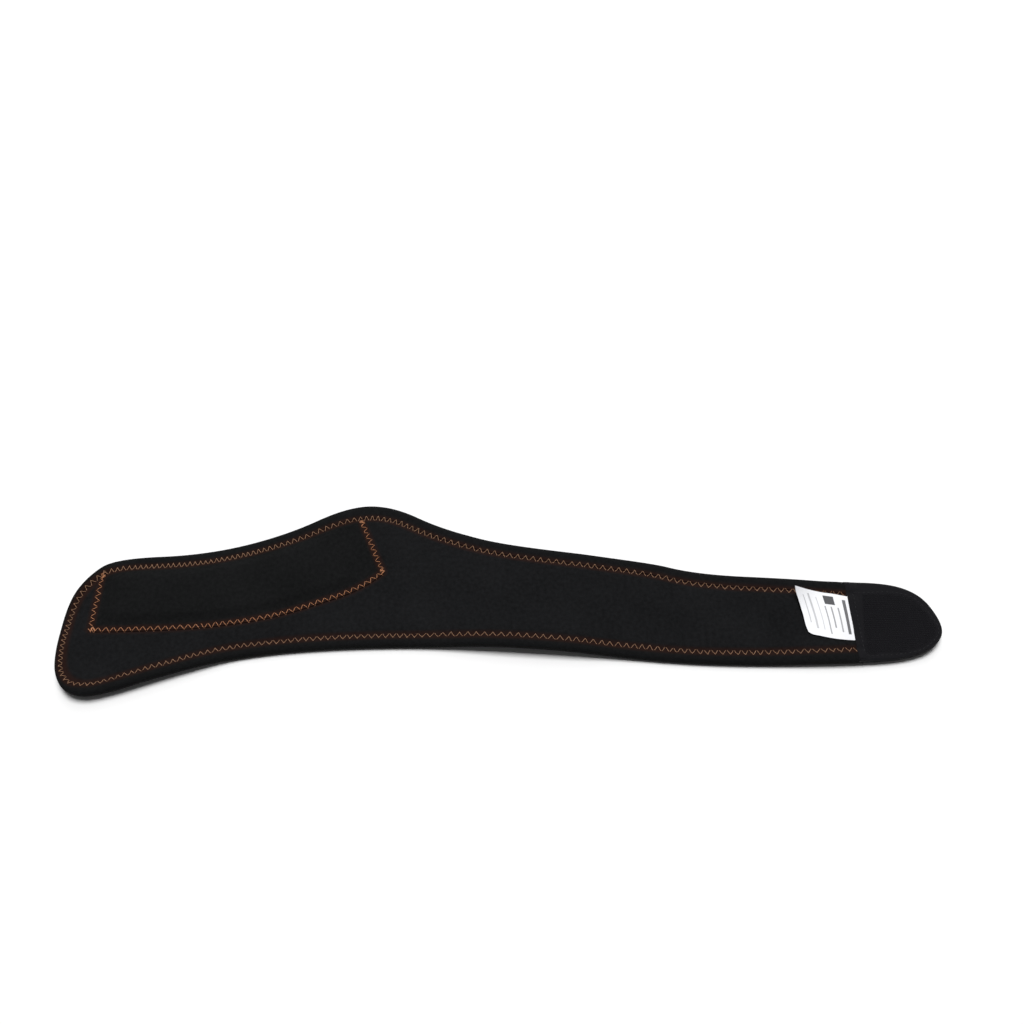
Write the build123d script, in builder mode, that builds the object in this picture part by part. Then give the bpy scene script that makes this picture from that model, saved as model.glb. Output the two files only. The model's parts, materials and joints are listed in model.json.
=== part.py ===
from build123d import *
from math import floor, radians, tan
import os

# Knee brace, laid open with its skin side up. The origin is at the centre of its box, on the surface it
# lies on. X runs along the wrap to the hook tab, Y to the humped edge, Z up. Millimetres.

# Overall sizes
overall_length = 500.0
overall_width = 123.0
wrap_thickness = 5.0

# Layers of the wrap, from the outer face up to the skin
facing_thickness = 0.7
lining_thickness = 0.6
binding_wall = 0.9
binding_round = 1.6
border_width = 6.5

# Outline: Y of its main places, from the centre of the box
end_far_y = 23.5
rise_far_y = 40.5
waist_far_y = 31.5
tongue_far_y = 12.8
tip_y = -20.5
tongue_near_y = -42.0
waist_near_y = -29.0
corner_rounding = 0.46

# How the wrap lies: its left end and its tip lift, and its middle is a low arch
left_lift = 2.5
left_lift_length = 45.0
arch_height = 5.0
arch_centre_x = 15.0
arch_half_length = 75.0
tip_lift = 3.5
tip_lift_length = 40.0

# Hinge lines: the first length, how much each next one is longer, and the gap between two lengths
panel_count = 7
first_length = 60.0
length_growth = 0.8
hinge_gap = 0.6

# Zigzag thread
thread_width = 0.8
thread_height = 0.4
zigzag_width = 3.0
zigzag_pitch = 4.4

# Pocket and the pad in it, its two ends as shares of half the wrap's length
pocket_left = -0.932
pocket_right = -0.278
pocket_width = 36.0
pocket_right_width = 38.5
pocket_near_y = -21.0
pocket_near_rise = 0.7
pocket_right_near_y = 16.0
pocket_hem = 1.9
pocket_seam_clearance = 2.3
panel_thickness = 0.6
pad_thickness = 2.0
pad_margin = 4.5
pad_end_gap = 15.0

# Hook tab
tab_length = 49.0
backing_lift = 0.8
backing_thickness = 1.8
hook_base_thickness = 1.0
hook_height = 0.8
hook_border = 4.6
hook_seam_border = 3.2
stitch_inset = 3.0
stitch_length = 2.2
stitch_pitch = 3.2
stitch_width = 0.5
stitch_height = 0.25

# Care label, caught in the tab seam
label_length = 28.0
label_width = 28.0
label_far_y = 0.8
label_thickness = 0.4
label_rise = 3.0
label_corner = 5.0
label_seam_gap = 0.8
label_clearance = 0.35

half_length = overall_length / 2
half_width = overall_width / 2
seam_x = half_length - tab_length
lining_low = wrap_thickness - lining_thickness
pad_top = wrap_thickness + pad_thickness
thread_half = thread_width / 2
zigzag_half = zigzag_width / 2 - thread_half
tall = 40.0
beyond = 10.0


def along(share, y):
    """A point of the plan, its X as a share of half the wrap's length."""
    return (share * half_length, y)


def roundings(corners):
    """The radius for each corner of a closed outline, in proportion to the shorter side beside it."""
    radii = []
    for place, corner in enumerate(corners):
        before = Vector(corners[place - 1]) - Vector(corner)
        after = Vector(corners[(place + 1) % len(corners)]) - Vector(corner)
        half_turn = radians(180 - before.get_angle(after)) / 2
        radii.append(corner_rounding * min(before.length, after.length) / tan(half_turn))
    return radii


# Corners of the outline before they are rounded, clockwise from the left end
corners = [
    along(-1, -40.0),
    along(-1, -4.0),
    along(-0.976, end_far_y - 10.5),
    along(-0.916, end_far_y),
    along(-0.7, end_far_y + 5.0),
    along(-0.52, rise_far_y),
    along(-0.388, half_width),
    along(-0.264, half_width),
    along(-0.144, waist_far_y + 13.5),
    along(0.02, waist_far_y),
    along(0.32, waist_far_y - 8.0),
    along(0.456, tongue_far_y + 1.2),
    along(0.68, tongue_far_y),
    along(0.888, tongue_far_y - 3.3),
    along(0.976, tip_y + 19.5),
    along(1, tip_y + 6.5),
    along(1, tip_y - 6.5),
    along(0.956, tip_y - 15.0),
    along(0.832, tongue_near_y + 0.5),
    along(0.48, tongue_near_y),
    along(0.2, waist_near_y - 5.0),
    along(-0.2, waist_near_y),
    along(-0.56, waist_near_y - 6.0),
    along(-0.74, waist_near_y - 19.5),
    along(-0.884, -half_width),
    along(-0.956, -half_width),
    along(-0.984, 7.5 - half_width),
]

with BuildSketch() as outline:
    with BuildLine():
        FilletPolyline(*corners, radius=roundings(corners), close=True)
    make_face()


def inset(distance):
    """The outline's plan drawn in by a distance."""
    with BuildSketch() as smaller:
        add(outline.sketch)
        offset(amount=-distance, mode=Mode.REPLACE)
    return smaller.sketch


def between(plan, start, end):
    """The stretch of a plan between two X."""
    with BuildSketch() as stretch:
        add(plan)
        with Locations(((start + end) / 2, 0)):
            Rectangle(end - start, 2 * overall_width, mode=Mode.INTERSECT)
    return stretch.sketch


# The underside seen from the near edge: flat where it lies, with the arch and the two lifted ends
flat_left_x = left_lift_length - half_length
flat_right_x = half_length - tip_lift_length
arch_left_x = arch_centre_x - arch_half_length
arch_right_x = arch_centre_x + arch_half_length

with BuildLine() as underside:
    left_curl = TangentArc((flat_left_x, 0), (-half_length, left_lift), tangent=(-1, 0))
    left_end = Line(left_curl @ 1, left_curl @ 1 + (left_curl % 1) * beyond)
    Line((flat_left_x, 0), (arch_left_x, 0))
    rise = TangentArc(
        (arch_left_x, 0), (arch_centre_x - arch_half_length / 2, arch_height / 2), tangent=(1, 0)
    )
    crown = TangentArc(
        rise @ 1, (arch_centre_x + arch_half_length / 2, arch_height / 2), tangent=rise % 1
    )
    TangentArc(crown @ 1, (arch_right_x, 0), tangent=crown % 1)
    Line((arch_right_x, 0), (flat_right_x, 0))
    tip_curl = TangentArc((flat_right_x, 0), (half_length, tip_lift), tangent=(1, 0))
    right_end = Line(tip_curl @ 1, tip_curl @ 1 + (tip_curl % 1) * beyond)


def slab(low, high):
    """The space between two heights above the underside, longer and wider than the wrap."""
    with BuildPart() as space:
        with BuildSketch(Plane.XZ):
            with BuildLine():
                add(underside.line.moved(Location((0, low))))
                add(underside.line.moved(Location((0, high))))
                for end in (left_end @ 1, right_end @ 1):
                    Line(end + (0, low), end + (0, high))
            make_face()
        extrude(amount=overall_width, both=True)
    return space.part


def layer(plan, low, high):
    """A plan's solid between two heights above the underside."""
    with BuildPart() as solid:
        with BuildSketch(Plane.XY.offset(-tall / 2)):
            add(plan)
        extrude(amount=tall)
        add(slab(low, high), mode=Mode.INTERSECT)
    return solid.part


def save(part, name):
    """Name a finished piece and write it."""
    part.label = name
    export_step(part, f"parts/{name}.step")


# Hinge lines across the wrap, each length of it a little longer than the one before
spread = length_growth * (panel_count - 1) * (panel_count - 2) / 2
second_length = (seam_x + half_length - first_length - spread) / (panel_count - 1)
hinge_x = [first_length - half_length]
for number in range(panel_count - 1):
    hinge_x.append(hinge_x[-1] + second_length + number * length_growth)
starts = [-half_length - beyond] + [x + hinge_gap / 2 for x in hinge_x[:-1]]
ends = [x - hinge_gap / 2 for x in hinge_x]
windows = list(zip(starts, ends))

field_plan = inset(border_width)
core_plan = inset(binding_wall)

os.makedirs("parts", exist_ok=True)

# The wrap's three sheets: outer loop facing, foam core and inner lining
for number, (start, end) in enumerate(windows, 1):
    with BuildPart() as loop_facing:
        add(layer(between(field_plan, start, end), 0, facing_thickness))
    save(loop_facing.part, f"loop_facing_{number}")

    with BuildPart() as foam_core:
        add(layer(between(core_plan, start, end), facing_thickness, lining_low))
    save(foam_core.part, f"foam_core_{number}")

    with BuildPart() as lining:
        add(layer(between(field_plan, start, end), lining_low, wrap_thickness))
    save(lining.part, f"lining_{number}")

# Edge binding: a tape folded round the rim, with its two flanges level with the sheets inside it
with BuildPart() as whole_binding:
    add(layer(between(outline.sketch, starts[0], ends[-1]), 0, wrap_thickness))
    wall = whole_binding.faces().sort_by(Axis.X)[-1]
    upright = whole_binding.edges().filter_by(Axis.Z)
    rim = whole_binding.edges().filter_by(Axis.Y, reverse=True) - upright - wall.edges()
    fillet(rim, radius=binding_round)
    add(layer(field_plan, -beyond, wrap_thickness + beyond), mode=Mode.SUBTRACT)
    add(layer(core_plan, facing_thickness, lining_low), mode=Mode.SUBTRACT)

for number, (start, end) in enumerate(windows, 1):
    with BuildPart() as edge_binding:
        add(whole_binding.part)
        with BuildSketch(Plane.XY.offset(-tall / 2)):
            with Locations(((start + end) / 2, 0)):
                Rectangle(end - start, 2 * overall_width)
        extrude(amount=tall, mode=Mode.INTERSECT)
    save(edge_binding.part, f"edge_binding_{number}")


def zigzag(path):
    """The turning points of a zigzag along a path, each with the direction across the path there."""
    turns = []
    step = zigzag_pitch / 2
    for number in range(floor(path.length / step) + 1):
        at = path.position_at(number * step, position_mode=PositionMode.LENGTH)
        ahead = path.tangent_at(number * step, position_mode=PositionMode.LENGTH)
        across = Vector(-ahead.Y, ahead.X)
        side = zigzag_half if number % 2 else -zigzag_half
        turns.append((at + across * side, across))
    return turns


def runs_between(turns, start, end):
    """The unbroken runs of a zigzag's turning points that lie between two X."""
    runs = [[]]
    for turn in turns:
        if start + thread_width < turn[0].X < end - thread_width:
            runs[-1].append(turn)
        elif runs[-1]:
            runs.append([])
    return [run for run in runs if len(run) > 2]


def thread(zigzags, start, end, low, name):
    """The thread of some zigzags between two X, lying at a height above the underside."""
    with BuildSketch() as bands:
        for run in [run for turns in zigzags for run in runs_between(turns, start, end)]:
            with BuildLine():
                left_side = [at + across * thread_half for at, across in run]
                right_side = [at - across * thread_half for at, across in reversed(run)]
                Polyline(*left_side, *right_side, close=True)
            make_face()
    if bands.sketch.faces():
        with BuildPart() as band:
            add(layer(bands.sketch, low, low + thread_height))
        save(band.part, name)


# Perimeter zigzag on the seam between the lining and the binding, from the tab seam round to it again
round_turns = zigzag(field_plan.face().outer_wire())
on_tab = [number for number, turn in enumerate(round_turns) if turn[0].X > seam_x]
round_turns = round_turns[on_tab[0]:] + round_turns[:on_tab[0]]
for number, (start, end) in enumerate(windows, 1):
    thread([round_turns], start, end, wrap_thickness, f"edge_stitch_{number}")

# Pocket: its seam runs down the left end, along the near side and up the right end
near_left = along(pocket_left, pocket_near_y)
far_left = along(pocket_left, pocket_near_y + pocket_width)
near_start = along(-0.82, pocket_near_y + pocket_near_rise)
with BuildLine() as pocket_seam:
    left_line = Line(far_left, near_left)
    near_line = Line(near_left, near_start)
    near_right = along(pocket_right, pocket_right_near_y)
    near_arc = TangentArc(near_start, near_right, tangent=near_line % 1)
    up = Vector(-(near_arc % 1).Y, (near_arc % 1).X)
    right_line = Line(near_arc @ 1, near_arc @ 1 + up * pocket_right_width)

with BuildSketch() as inside_seam:
    with BuildLine():
        add(pocket_seam.line)
        far_right = right_line @ 1
        past_far_left = along(pocket_left, overall_width)
        Polyline(far_right, (far_right.X, overall_width), past_far_left, far_left)
    make_face()

with BuildSketch() as pocket_plan:
    add(inside_seam.sketch)
    offset(amount=pocket_hem, kind=Kind.INTERSECTION, mode=Mode.REPLACE)
    add(inset(border_width + pocket_seam_clearance), mode=Mode.INTERSECT)

pad_right_x = near_right[0] - pad_end_gap
with BuildSketch() as pad_plan:
    add(inside_seam.sketch)
    add(inset(border_width + pocket_seam_clearance), mode=Mode.INTERSECT)
    offset(amount=-pad_margin, mode=Mode.REPLACE)
    with Locations((pad_right_x - half_length, 0)):
        Rectangle(2 * half_length, 2 * overall_width, mode=Mode.INTERSECT)

with BuildSketch() as dome_plan:
    add(pad_plan.sketch)
    offset(amount=panel_thickness, mode=Mode.REPLACE)

with BuildPart() as whole_pad:
    add(layer(pad_plan.sketch, wrap_thickness, pad_top))

with BuildPart() as whole_panel:
    add(layer(dome_plan.sketch, wrap_thickness, pad_top + panel_thickness))
    add(layer(pocket_plan.sketch, wrap_thickness, wrap_thickness + panel_thickness))
    add(whole_pad.part, mode=Mode.SUBTRACT)

pocket_sides = [left_line, Wire([near_line, near_arc]), right_line]
pocket_zigzags = [zigzag(side) for side in pocket_sides]
for number, (start, end) in enumerate(windows, 1):
    if start > near_right[0]:
        break
    with BuildSketch(Plane.XY.offset(-tall / 2)) as window:
        with Locations(((start + end) / 2, 0)):
            Rectangle(end - start, 2 * overall_width)
    with BuildPart() as pocket_pad:
        add(whole_pad.part)
        extrude(window.sketch, amount=tall, mode=Mode.INTERSECT)
    save(pocket_pad.part, f"pocket_pad_{number}")

    with BuildPart() as pocket_panel:
        add(whole_panel.part)
        extrude(window.sketch, amount=tall, mode=Mode.INTERSECT)
    save(pocket_panel.part, f"pocket_panel_{number}")
    thread(pocket_zigzags, start, end, wrap_thickness + panel_thickness, f"pocket_stitch_{number}")

# Hook tab: its backing, the hook tape's base and the field of hooks
tab_start = seam_x + hinge_gap / 2
tab_end = half_length + beyond
base_low = backing_lift + backing_thickness
base_top = base_low + hook_base_thickness
tab_plan = between(outline.sketch, tab_start, tab_end)
hook_plan = between(inset(hook_border), tab_start + hook_seam_border, tab_end)

with BuildPart() as tab_backing:
    add(layer(tab_plan, backing_lift, base_low))
save(tab_backing.part, "tab_backing")

with BuildPart() as hook_base:
    add(layer(tab_plan, base_low, base_top))
save(hook_base.part, "hook_base")

with BuildPart() as hook_field:
    add(layer(hook_plan, base_top, base_top + hook_height))
save(hook_field.part, "hook_field")

# Tab stitching: short stitches along the tab's border and its seam
seam_stitch_x = tab_start + hook_seam_border / 2
with BuildSketch() as stitches:
    border = inset(stitch_inset).face().outer_wire()
    for number in range(floor(border.length / stitch_pitch)):
        at = border.position_at(number * stitch_pitch, position_mode=PositionMode.LENGTH)
        ahead = border.tangent_at(number * stitch_pitch, position_mode=PositionMode.LENGTH)
        if at.X > seam_stitch_x + stitch_pitch:
            with Locations(Location(at, (0, 0, Vector(1, 0).get_signed_angle(ahead)))):
                Rectangle(stitch_length, stitch_width)
    seam_edges = between(inset(stitch_inset), seam_stitch_x, tab_end).edges().filter_by(Axis.Y)
    seam_edge = seam_edges.sort_by(Axis.X)[0]
    with Locations(seam_edge.center()):
        with GridLocations(0, stitch_pitch, 1, floor(seam_edge.length / stitch_pitch)):
            Rectangle(stitch_width, stitch_length)

with BuildPart() as tab_stitch:
    add(layer(stitches.sketch, base_top, base_top + stitch_height))
save(tab_stitch.part, "tab_stitch")

# Care label: a satin strip that arches up from the tab seam and comes down again at its free end
label_right_x = seam_x - label_seam_gap
label_left_x = label_right_x - label_length
label_low = wrap_thickness + label_clearance
with BuildPart() as care_label:
    with BuildSketch(Plane.XZ):
        with BuildLine():
            under = ThreePointArc(
                (label_left_x, label_low),
                ((label_left_x + label_right_x) / 2, label_low + label_rise),
                (label_right_x, label_low),
            )
            add(under.moved(Location((0, label_thickness))))
            Line(under @ 0, under @ 0 + (0, label_thickness))
            Line(under @ 1, under @ 1 + (0, label_thickness))
        make_face()
    extrude(amount=overall_width, both=True)
    with BuildSketch():
        with Locations((label_right_x - label_length / 2, label_far_y - label_width / 2)):
            Rectangle(label_length, label_width)
        fillet(vertices().group_by(Axis.X)[0], radius=label_corner)
    extrude(amount=tall, mode=Mode.INTERSECT)
save(care_label.part, "care_label")
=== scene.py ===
import json
import math
import random
import bpy
import numpy as np
from mathutils.geometry import delaunay_2d_cdt
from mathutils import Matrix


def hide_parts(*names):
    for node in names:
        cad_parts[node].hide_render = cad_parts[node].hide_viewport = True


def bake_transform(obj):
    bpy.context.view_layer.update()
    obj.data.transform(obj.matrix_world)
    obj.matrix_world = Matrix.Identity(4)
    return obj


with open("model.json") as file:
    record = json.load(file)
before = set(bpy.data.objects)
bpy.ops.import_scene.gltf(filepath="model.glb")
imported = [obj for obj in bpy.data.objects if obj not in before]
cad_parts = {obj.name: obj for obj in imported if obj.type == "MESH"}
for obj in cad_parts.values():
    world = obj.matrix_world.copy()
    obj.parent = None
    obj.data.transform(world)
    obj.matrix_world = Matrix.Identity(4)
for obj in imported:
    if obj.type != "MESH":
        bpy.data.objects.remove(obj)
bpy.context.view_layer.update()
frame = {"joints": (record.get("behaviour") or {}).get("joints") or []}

# Knee brace laid open, skin side up. Lengths are in millimetres, and in metres only in the studio.
mm = 0.001
hingeX = {joint["name"]: joint["pos_m"][0] / mm for joint in frame["joints"]}

wrap = {
    # the outline's corners before they are rounded, clockwise from the left end
    "corners": [
        (-250, -40), (-250, -5), (-242.5, 13), (-228.5, 26), (-175.5, 28.5), (-130, 41.7), (-93, 62.5),
        (-66, 62.3), (-36, 46), (6, 30.7), (83, 24.7), (115, 15.5), (170, 12.6), (192, 10.6), (225, 10.2),
        (243, 1.8), (250.8, -15), (250.8, -26), (238, -36.9), (208.5, -41.3), (119, -42.2), (50, -35.5),
        (-49.5, -29.5), (-140.5, -34.6), (-185.5, -48.3), (-223, -61.7), (-237, -61.0), (-245.5, -53.2),
    ],
    "halfLength": 250.0, "thickness": 5.0,
    "step": 1.3,  # spacing of the points along the outline
    "leftLift": 2.5, "leftLiftLength": 45.0,
    "archHeight": 5.0, "archCentre": 15.0, "archHalf": 75.0,
    "tipLift": 3.5, "tipLiftLength": 40.0,
    # how far the near edge rises off the table at some X, and how far in that reaches
    "nearLift": [(-252, 0.6), (-236, 2.4), (-200, 3.4), (-172, 2.4), (-148, 0), (150, 0), (180, 1.2),
                 (212, 1.4), (240, 0.6), (252, 0)],
    "nearLiftReach": 22.0, "nearLiftPast": 4.0,
    # the line between the two long edges, and the band over which one edge's values pass into the other's
    "middle": [(-250, -22), (-150, -5), (-80, 14), (0, 0), (100, -11), (250, -15)], "middleBand": 16.0,
    "seamX": 202.0, "pastSeam": 0.8,  # the tab seam, and how far the wrap's cloths run past it
    "pressed": 0.14, "pressedLength": 7.0,  # how far the tab seam flattens the wrap
    "clear": 10.0,  # a distance that is clear of the outline
}

# One strip of each cloth for every hinge line, from the middle of one length of the wrap to that of the next.
# Each strip keeps its reach before the hinge line and after it.
bodies = ["left_end", "left_outer", "left_inner", "middle", "right_inner", "right_outer", "tongue",
          "hook_tab"]
hinges = ["left_curl_end", "left_curl_outer", "left_curl", "right_curl", "right_curl_outer",
          "right_curl_tongue", "tab_close"]
reaches = [(20, 20), *[(27, 27)] * 5, (9, 16)]
strips = [{"tag": f"_{number}", "x": hingeX[hinge], "bodies": pair, "reach": reach}
          for number, (hinge, pair, reach) in enumerate(zip(hinges, zip(bodies, bodies[1:]), reaches), 1)]
for strip, following in zip(strips, strips[1:]):
    strip["end"] = following["start"] = (strip["x"] + following["x"]) / 2
strips[0]["start"] = -wrap["halfLength"] - wrap["clear"]
strips[-1]["end"] = wrap["halfLength"] + wrap["clear"]
tabStrip = strips[-1]


def smooth(share):
    share = np.clip(share, 0, 1)
    return share * share * (3 - 2 * share)


def unit(vectors):
    return vectors / np.linalg.norm(vectors, axis=-1, keepdims=True)


def lookUp(table, at):  # from a list of places with their values
    return np.interp(at, *zip(*table))


def runAlong(line):  # the distance along a line at each of its points
    return np.concatenate([[0], np.cumsum(np.linalg.norm(np.diff(line, axis=0), axis=1))])


def valueAt(values, run, at):  # what the points of a line have, at some distance along it
    return np.stack([np.interp(at, run, column) for column in values.T], axis=-1)


def evenly(line, spacing):  # the same line with points at one spacing
    run = runAlong(line)
    return valueAt(line, run, np.linspace(0, run[-1], max(2, round(run[-1] / spacing) + 1)))


def roundedLoop(corners, spacing, steps=24):  # a closed curve that touches the middle of each side
    share = np.linspace(0, 1, steps, endpoint=False)[:, None]
    corners = np.array(corners, float)
    before, after = np.roll(corners, 1, 0)[:, None], np.roll(corners, -1, 0)[:, None]
    arcs = 0.5 * (1 - share) ** 2 * before + (0.5 + share - share ** 2) * corners[:, None]
    loop = (arcs + 0.5 * share ** 2 * after).reshape(-1, 2)
    return evenly(np.vstack([loop, loop[:1]]), spacing)


def ahead(line):  # unit direction at each point
    return unit(np.gradient(line, axis=0))


def rightOf(direction):
    return np.stack([direction[:, 1], -direction[:, 0]], axis=1)


def distanceTo(line, points, block=400):
    start, step = line[:-1], np.diff(line, axis=0)
    long = (step ** 2).sum(1)
    found = []
    for some in np.array_split(points, max(1, len(points) // block)):
        share = np.clip(((some[:, None] - start) * step).sum(2) / long, 0, 1)
        gap = some[:, None] - start - share[..., None] * step
        found.append(np.sqrt((gap ** 2).sum(2)).min(1))
    return np.concatenate(found)


def inside(loop, points):  # which points a closed loop holds
    x, y = points[:, 0, None], points[:, 1, None]
    a, b = loop, np.roll(loop, -1, 0)
    crosses = (a[:, 1] > y) != (b[:, 1] > y)
    with np.errstate(divide="ignore", invalid="ignore"):
        at = a[:, 0] + (y - a[:, 1]) / (b[:, 1] - a[:, 1]) * (b[:, 0] - a[:, 0])
    return (crosses & (x < at)).sum(1) % 2 == 1


def clip(loop, side, value):  # the part of a closed loop with side * X at least side * value
    kept = []
    for here, there in zip(loop, np.roll(loop, -1, 0)):
        hereIn, thereIn = side * (here[0] - value) >= 0, side * (there[0] - value) >= 0
        if hereIn:
            kept.append(here)
        if hereIn != thereIn:
            share = (value - here[0]) / (there[0] - here[0])
            kept.append(here + share * (there - here))
    return np.array(kept)


def apart(loop, least=0.05):  # without the points that lie on the one before
    return loop[np.linalg.norm(loop - np.roll(loop, 1, 0), axis=1) > least]


def between(loop, start, end):  # a closed loop between two X, its cut edges finely divided
    loop = clip(clip(loop, 1, start), -1, end)
    fine = []
    for here, there in zip(loop, np.roll(loop, -1, 0)):
        steps = max(1, round(np.linalg.norm(there - here))) if abs(here[0] - there[0]) < 1e-6 else 1
        fine.extend(here + (there - here) * share for share in np.arange(steps) / steps)
    return apart(np.array(fine), 0.02)


def cornersOf(cut):  # its far end and its near end
    return cut[cut[:, 1].argmax()], cut[cut[:, 1].argmin()]


outline = roundedLoop(wrap["corners"], wrap["step"])
inward = rightOf(ahead(np.vstack([outline[-2:-1], outline, outline[1:2]])))[1:-1]


def insetLoop(distance, slack=0.12):  # the outline drawn in; the distance may change along it
    distance = np.broadcast_to(distance, len(outline))
    loop = (outline + inward * distance[:, None])[:-1]
    return loop[distanceTo(outline, loop) > distance[:-1] - slack]


def edgeOf(xy):  # how far in from the outline
    return distanceTo(outline, xy)


def underside(x):  # flat where it lies, with a low arch and two lifted ends
    def arc(height, length, past):  # a circle's rise over a length
        radius = (length ** 2 + height ** 2) / (2 * height)
        return radius - np.sqrt(radius ** 2 - np.clip(past, 0, length) ** 2)
    half, height, away = wrap["archHalf"], wrap["archHeight"], np.abs(x - wrap["archCentre"])
    crown, foot = height - arc(height / 2, half / 2, away), arc(height / 2, half / 2, half - away)
    left = arc(wrap["leftLift"], wrap["leftLiftLength"], wrap["leftLiftLength"] - wrap["halfLength"] - x)
    tip = arc(wrap["tipLift"], wrap["tipLiftLength"], x - wrap["halfLength"] + wrap["tipLiftLength"])
    return left + tip + np.where(away < half / 2, crown, foot)


def nearLift(xy):
    x, y = xy.T
    height = lookUp(wrap["nearLift"], x)
    height *= smooth((lookUp(wrap["middle"], x) + wrap["nearLiftPast"] - y) / wrap["middleBand"])
    lifted = height > 0
    if lifted.any():
        height[lifted] *= 1 - smooth(edgeOf(xy[lifted]) / wrap["nearLiftReach"])
    return height


def raised(xy, height):  # places of the plan at a height above the underside
    return np.column_stack([xy, underside(xy[:, 0]) + nearLift(xy) + height])


def through(points, count):  # a smooth line through a few points
    points = np.array(points, float)
    run = runAlong(points)
    at = np.linspace(0, run[-1], count)
    place = np.clip(np.searchsorted(run, at, "right") - 1, 0, len(run) - 2)
    gap = (run[place + 1] - run[place])[:, None]
    slope = np.gradient(points, run, axis=0)
    leaving, arriving = gap * slope[place], gap * slope[place + 1]
    share = (at - run[place])[:, None] / gap
    square, cube = share ** 2, share ** 3
    return ((2 * cube - 3 * square + 1) * points[place] + (cube - 2 * square + share) * leaving
            + (3 * square - 2 * cube) * points[place + 1] + (cube - square) * arriving)


def pressed(xy):  # how much of its height the wrap keeps beside the tab seam
    past = xy[:, 0] - wrap["seamX"] + wrap["pressedLength"]
    return 1 - wrap["pressed"] * smooth(past / wrap["pressedLength"])


def waves(xy):  # the slow unevenness of soft foam, about -1 to 1
    x, y = xy.T
    swell = np.sin(x / 17 + 1.3 * np.sin(y / 23)) + np.sin(y / 11 + x / 41 + 2)
    return (swell + np.sin(x / 29 - y / 15 + 4)) / 3


binding = {
    "seam": 6.7, "short": 0.25,  # the seam's place in the section below; the tape ends a little short
    # from the edge in to the middle of the zigzag, at some X: the sewing wanders
    "farSeam": [(-246, 4.2), (-228, 6.6), (-205, 7.4), (-140, 7.6), (-110, 8.4), (-84, 9.7), (-55, 8.8),
                (-30, 8.2)],
    "nearSeam": [(-247, 3.7), (-233, 6.7), (-210, 7.0), (-187, 6.6), (-150, 6.7), (110, 6.7), (190, 8.0)],
    # the folded tape from its lower edge round the rim to its upper edge: distance in, height
    "outer": [(6.4, 0.06), (4.0, 0.0), (2.2, 0.0), (1.2, 0.22), (0.52, 0.72), (0.12, 1.45), (0.0, 2.3),
              (0.08, 3.1), (0.42, 3.85), (1.05, 4.5), (1.95, 4.9), (2.9, 5.02), (3.9, 4.97), (4.8, 4.8),
              (5.5, 4.58), (6.1, 4.42), (6.45, 4.36)],
    "inner": [(6.45, 3.8), (5.6, 3.94), (4.8, 4.15), (3.9, 4.32), (2.9, 4.37), (2.1, 4.27), (1.4, 3.95),
              (0.95, 3.5), (0.72, 2.9), (0.65, 2.3), (0.75, 1.7), (1.1, 1.1), (1.7, 0.75), (2.6, 0.65),
              (4.0, 0.65), (6.4, 0.65)],
    "rimHeight": 2.3, "runOn": 1.8,
    "pucker": 0.05, "puckerLength": 2.1, "puckerFrom": 3.5, "puckerBand": 2.5,  # drawn in by each stitch
}


def upperHalf(side):  # the part of the tape's section from the rim's middle up
    return [place for place in binding[side] if place[1] >= binding["rimHeight"]]


def farAndNear(xy, far, near):  # a distance that changes along each of the two long edges
    far, near, middle = (lookUp(table, xy[:, 0]) for table in (far, near, wrap["middle"]))
    band = wrap["middleBand"]
    return near + (far - near) * smooth((xy[:, 1] - middle + band / 2) / band)


def seamInset(xy):
    return farAndNear(xy, binding["farSeam"], binding["nearSeam"])


def pastSeam(xy):  # how far in from the border seam, negative outside it
    return edgeOf(xy) - seamInset(xy)


def bindingScale(xy):  # the tape's upper half reaches its seam
    return (seamInset(xy) - binding["short"]) / binding["seam"]


skin = {
    "seamHeight": 3.75, "rise": 4.8, "riseFrom": 0.75, "wave": 0.14, "waveRise": 10.0, "thickness": 0.6,
    "tucked": 1.15,  # how far it runs out under the binding
}

pocket = {
    "farLeft": (-233.3, 14.4), "farRight": (-84.8, 51.0),
    # the near seam, from left to right
    "near": [(-233.4, -21.7), (-205, -20.7), (-180, -19.5), (-155, -16.8), (-130, -11.8), (-105, -3.5),
             (-86, 4.2), (-76, 10.4), (-69.5, 15.8)],
    "hem": 1.2, "cloth": 0.55, "gap": 0.04, "dip": 0.32, "dipWidth": 1.5,
    "flush": 0.25, "flushFrom": 0.65, "flushWidth": 3.0,  # tucked in level with the binding at the far seam
    "wave": 0.12, "waveScale": 1.3,
    "padMargin": 3.6, "padFar": 1.25, "padRise": 2.1, "padStart": 0.12, "padSlope": 7.0, "padEnd": 14.5,
    "padDrawnIn": 0.8, "padGap": 0.05, "padLeast": 0.12,
}
farLeft, farRight = np.array(pocket["farLeft"]), np.array(pocket["farRight"])
nearLine = through(pocket["near"], 120)
nearLeft, nearRight = nearLine[0], nearLine[-1]
rightUp = unit(farRight - nearRight)
pocketEnd = np.array([nearRight - 40 * rightUp, farRight + 40 * rightUp])  # its right seam, run on
pocketSeam = evenly(np.vstack([[farLeft], nearLine, [farRight]]), 1.0)
pocketLoop = np.vstack([pocketSeam, [farRight + (0, 60), farLeft + (0, 90)]])  # closed off the wrap


def insidePocket(xy):  # how far in from the pocket's seam, negative outside it
    return distanceTo(pocketSeam, xy) * np.where(inside(pocketLoop, xy), 1, -1)


def skinHeight(xy):  # the lining's top, down at every seam
    past = pastSeam(xy)
    rise = smooth((past + skin["riseFrom"]) / skin["rise"])
    height = skin["seamHeight"] + (wrap["thickness"] - skin["seamHeight"]) * rise
    height += skin["wave"] * waves(xy) * smooth(past / skin["waveRise"])
    return height - pocket["dip"] * np.exp(-(distanceTo(pocketSeam, xy) / pocket["dipWidth"]) ** 2)


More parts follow.
